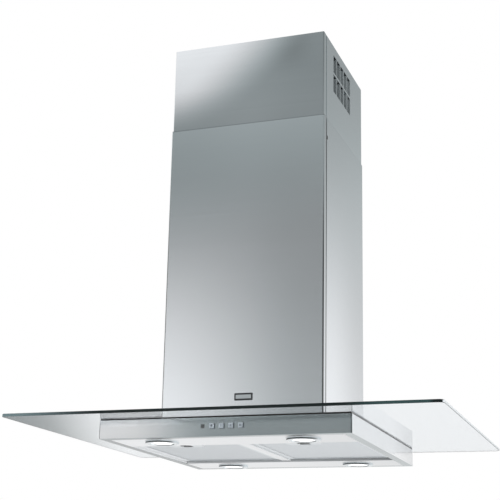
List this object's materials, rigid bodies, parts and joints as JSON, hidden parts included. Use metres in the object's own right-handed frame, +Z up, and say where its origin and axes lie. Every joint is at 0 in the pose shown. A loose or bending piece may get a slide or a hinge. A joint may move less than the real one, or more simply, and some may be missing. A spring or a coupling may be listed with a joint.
{
  "type": "island range hood",
  "caption": "Island range hood: telescoping steel chimney on a ceiling bracket, flat glass plate, shallow lit canopy with drop-down filters and a blower inside.",
  "frame": {"origin": "centre of the four ceiling bolt holes, on the ceiling bracket's top face, so the hood hangs below z = 0", "axes": "+X to the right as seen from the control side, +Y to the back (controls face -Y), +Z up to the ceiling"},
  "size_m": [0.9, 0.7, 0.8973],
  "materials": {
    "brushed_steel_sheet": "brushed, satin",
    "galvanised_frame": "galvanised, matt",
    "zinc_fasteners": "zinc plated",
    "clear_glass": "clear, polished, ground edge",
    "black_rubber": "matt",
    "filter_aluminium": "satin",
    "black_plastic": "fine texture",
    "grey_plastic": "fine texture",
    "button_metal": "satin",
    "indicator_lens": "translucent",
    "lamp_ring_chrome": "polished",
    "frosted_glass": "frosted",
    "lamp_can_white": "matt enamel",
    "motor_enamel": "satin enamel",
    "shaft_steel": "ground",
    "wheel_steel": "galvanised, matt",
    "board_green": "lacquered",
    "transformer_steel": "varnished",
    "capacitor_white": "smooth",
    "flap_aluminium": "mill finish"
  },
  "bodies": {
    "ceiling_frame": {"ceiling_bracket": "galvanised_frame", "upper_uprights": "galvanised_frame", "upright_screws": "zinc_fasteners", "upper_cover_front": "brushed_steel_sheet", "upper_cover_rear": "brushed_steel_sheet", "upper_cover_screws": "zinc_fasteners"},
    "hood": {"lower_cover_front": "brushed_steel_sheet", "lower_cover_rear": "brushed_steel_sheet", "lower_cover_screws": "zinc_fasteners", "seam_clips": "black_plastic", "base_ring": "galvanised_frame", "clamp_seal": "black_rubber", "lower_uprights": "galvanised_frame", "tie_ring": "galvanised_frame", "frame_clamp_screws": "zinc_fasteners", "frame_clamp_nuts": "zinc_fasteners", "glass_plate": "clear_glass", "canopy_casing": "brushed_steel_sheet", "canopy_seal": "black_rubber", "chassis_plate": "galvanised_frame", "clamp_bolts": "zinc_fasteners", "clamp_nuts": "zinc_fasteners", "clamp_spacers": "black_plastic", "inner_panel": "brushed_steel_sheet", "centre_bar": "brushed_steel_sheet", "switch_module": "black_plastic", "indicator_window": "indicator_lens", "lamp_rings": "lamp_ring_chrome", "lamp_lenses": "frosted_glass", "lamp_cans": "lamp_can_white", "scroll_housing": "wheel_steel", "scroll_cover": "wheel_steel", "outlet_transition": "black_plastic", "outlet_collar": "black_plastic", "flap_rod": "shaft_steel", "motor": "motor_enamel", "motor_bracket": "galvanised_frame", "blower_rails": "galvanised_frame", "blower_grommets": "black_rubber", "blower_screws": "zinc_fasteners", "control_box": "grey_plastic", "control_box_lid": "grey_plastic", "power_board": "board_green", "lamp_transformer": "transformer_steel", "capacitor": "capacitor_white", "cable_gland": "black_plastic"},
    "blower_wheel": {"blower_wheel": "wheel_steel", "motor_shaft": "shaft_steel"},
    "flap_front": {"flap_front": "flap_aluminium"},
    "flap_rear": {"flap_rear": "flap_aluminium"},
    "filter_left": {"filter_frame_left": "filter_aluminium", "filter_mesh_left": "filter_aluminium"},
    "filter_right": {"filter_frame_right": "filter_aluminium", "filter_mesh_right": "filter_aluminium"},
    "latch_left": {"latch_left": "black_plastic"},
    "latch_right": {"latch_right": "black_plastic"},
    "button_light": {"button_light": "button_metal"},
    "button_speed_1": {"button_speed_1": "button_metal"},
    "button_speed_2": {"button_speed_2": "button_metal"},
    "button_speed_3": {"button_speed_3": "button_metal"}
  },
  "joints": [
    {"name": "height_adjust", "type": "slide", "parent": "ceiling_frame", "child": "hood", "axis": [0, 0, 1], "range_m": [-0.15, 0.185]},
    {"name": "wheel_spin", "type": "hinge", "parent": "hood", "child": "blower_wheel", "pos_m": [0, -0.056, -0.7276], "axis": [1, 0, 0], "continuous": true},
    {"name": "flap_front_hinge", "type": "hinge", "parent": "hood", "child": "flap_front", "pos_m": [0, 0, -0.5416], "axis": [-1, 0, 0], "range_deg": [0, 75]},
    {"name": "flap_rear_hinge", "type": "hinge", "parent": "hood", "child": "flap_rear", "pos_m": [0, 0, -0.5416], "axis": [1, 0, 0], "range_deg": [0, 75]},
    {"name": "filter_left_hinge", "type": "hinge", "parent": "hood", "child": "filter_left", "pos_m": [-0.127, 0.1532, -0.8883], "axis": [1, 0, 0], "range_deg": [0, 75]},
    {"name": "filter_right_hinge", "type": "hinge", "parent": "hood", "child": "filter_right", "pos_m": [0.127, 0.1532, -0.8883], "axis": [1, 0, 0], "range_deg": [0, 75]},
    {"name": "latch_left_slide", "type": "slide", "parent": "filter_left", "child": "latch_left", "axis": [0, 1, 0], "range_m": [0, 0.006], "stiffness_N_per_m": 150, "springref_m": -0.002},
    {"name": "latch_right_slide", "type": "slide", "parent": "filter_right", "child": "latch_right", "axis": [0, 1, 0], "range_m": [0, 0.006], "stiffness_N_per_m": 150, "springref_m": -0.002},
    {"name": "button_light_press", "type": "slide", "parent": "hood", "child": "button_light", "axis": [0, 1, 0], "range_m": [0, 0.0015], "stiffness_N_per_m": 800},
    {"name": "button_speed_1_press", "type": "slide", "parent": "hood", "child": "button_speed_1", "axis": [0, 1, 0], "range_m": [0, 0.0015], "stiffness_N_per_m": 800},
    {"name": "button_speed_2_press", "type": "slide", "parent": "hood", "child": "button_speed_2", "axis": [0, 1, 0], "range_m": [0, 0.0015], "stiffness_N_per_m": 800},
    {"name": "button_speed_3_press", "type": "slide", "parent": "hood", "child": "button_speed_3", "axis": [0, 1, 0], "range_m": [0, 0.0015], "stiffness_N_per_m": 800}
  ]
}
